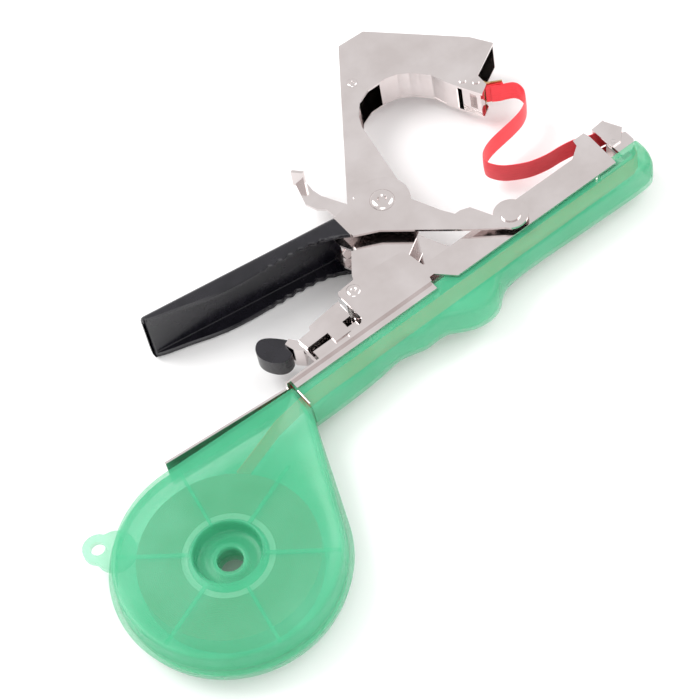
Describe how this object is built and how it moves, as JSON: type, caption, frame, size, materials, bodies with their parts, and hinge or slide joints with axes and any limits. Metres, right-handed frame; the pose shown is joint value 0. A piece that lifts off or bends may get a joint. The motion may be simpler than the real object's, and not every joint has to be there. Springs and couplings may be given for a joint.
{
  "type": "tape-tying plier",
  "caption": "Hand plier that staples plastic tape round a plant stem: hooked jaw arm, squeeze lever, staple magazine on a finger grip and a round tape case.",
  "frame": {"origin": "centre of the outline, at the lowest point of the tool lying on its far side", "axes": "+X along the staple magazine towards the nose, +Y from the finger grip towards the jaw arm, +Z across the tool's thickness, along the hinge pins"},
  "size_m": [0.3046, 0.2276, 0.0292],
  "materials": {
    "nickel_steel": "bright nickel plate on pressed sheet",
    "spring_steel": "drawn spring steel",
    "staple_wire": "galvanised wire",
    "green_plastic": "translucent injection-moulded plastic",
    "white_plastic": "plain moulded plastic",
    "black_vinyl": "dipped soft vinyl",
    "red_tape": "thin soft plastic tape",
    "brass_leaf": "rolled brass leaf"
  },
  "bodies": {
    "frame": {"grip_shell": "green_plastic", "reel_tray": "green_plastic", "frame_channel": "nickel_steel", "case_strap": "nickel_steel", "main_rivet": "nickel_steel", "return_spring": "spring_steel", "driver_holder": "white_plastic", "driver_blade": "spring_steel", "tape_cutter": "spring_steel", "tape_guide": "nickel_steel", "presser_pin": "nickel_steel", "tape_inner_run": "red_tape", "tape_free_run": "red_tape"},
    "case_lid": {"reel_lid": "green_plastic", "lid_hinge_pin": "nickel_steel"},
    "tape_reel": {"tape_core": "white_plastic", "tape_roll": "red_tape"},
    "magazine": {"magazine_cheeks": "nickel_steel", "staple_channel": "nickel_steel", "rack_spacers": "nickel_steel", "rear_cover": "nickel_steel", "staple_stick": "staple_wire", "lever_pins": "nickel_steel"},
    "loader": {"loader_rod": "spring_steel", "loader_plate": "nickel_steel", "pull_tab": "black_vinyl", "pusher_spring": "spring_steel"},
    "pusher": {"staple_pusher": "white_plastic"},
    "presser": {"tape_presser": "nickel_steel"},
    "jaw_arm": {"arm_shell": "nickel_steel", "arm_rivet": "nickel_steel", "anvil_block": "nickel_steel", "tip_studs": "nickel_steel", "hook_pin": "nickel_steel"},
    "catch": {"tape_catch": "brass_leaf", "tape_end": "red_tape"},
    "squeeze_lever": {"lever_shell": "nickel_steel", "grip_sleeve": "black_vinyl", "lever_rivet": "nickel_steel"},
    "lock": {"lock_hook": "nickel_steel"}
  },
  "joints": [
    {"name": "arm_close", "type": "hinge", "parent": "frame", "child": "jaw_arm", "pos_m": [0.0103, -0.0002, 0.0146], "axis": [0, 0, -1], "range_deg": [0, 29.5], "deforming": ["tape_free_run"]},
    {"name": "magazine_tilt", "type": "hinge", "parent": "frame", "child": "magazine", "pos_m": [0.0103, -0.0002, 0.0146], "axis": [0, 0, -1], "range_deg": [0, 2]},
    {"name": "lever_squeeze", "type": "hinge", "parent": "magazine", "child": "squeeze_lever", "pos_m": [0.0838, -0.0155, 0.0146], "axis": [0, 0, 1], "range_deg": [0, 14]},
    {"name": "lock_turn", "type": "hinge", "parent": "jaw_arm", "child": "lock", "pos_m": [0.0433, 0.0403, 0.0146], "axis": [0, 0, 1], "range_deg": [0, 25]},
    {"name": "catch_open", "type": "hinge", "parent": "jaw_arm", "child": "catch", "pos_m": [0.1242, 0.053, 0.0146], "axis": [0, 0, 1], "range_deg": [0, 6], "stiffness_Nm_per_rad": 0.05},
    {"name": "presser_lift", "type": "hinge", "parent": "frame", "child": "presser", "pos_m": [0.1443, -0.0116, 0.0146], "axis": [0, 0, -1], "range_deg": [0, 12], "stiffness_Nm_per_rad": 0.05},
    {"name": "reel_turn", "type": "hinge", "parent": "frame", "child": "tape_reel", "pos_m": [-0.1027, -0.0642, 0.0146], "axis": [0, 0, 1], "continuous": true},
    {"name": "lid_open", "type": "hinge", "parent": "frame", "child": "case_lid", "pos_m": [-0.03685, -0.0276, 0.0245], "axis": [0, 1, 0], "range_deg": [0, 100]},
    {"name": "loader_slide", "type": "slide", "parent": "magazine", "child": "loader", "axis": [-1, 0, 0], "range_m": [0, 0.05]},
    {"name": "pusher_slide", "type": "slide", "parent": "loader", "child": "pusher", "axis": [1, 0, 0], "range_m": [0, 0.036], "deforming": ["staple_stick", "pusher_spring"]}
  ],
  "couplings": [
    {"joint": "magazine_tilt", "follows": "arm_close", "ratio": 0.067797},
    {"joint": "lever_squeeze", "follows": "arm_close", "ratio": 0.47458}
  ]
}
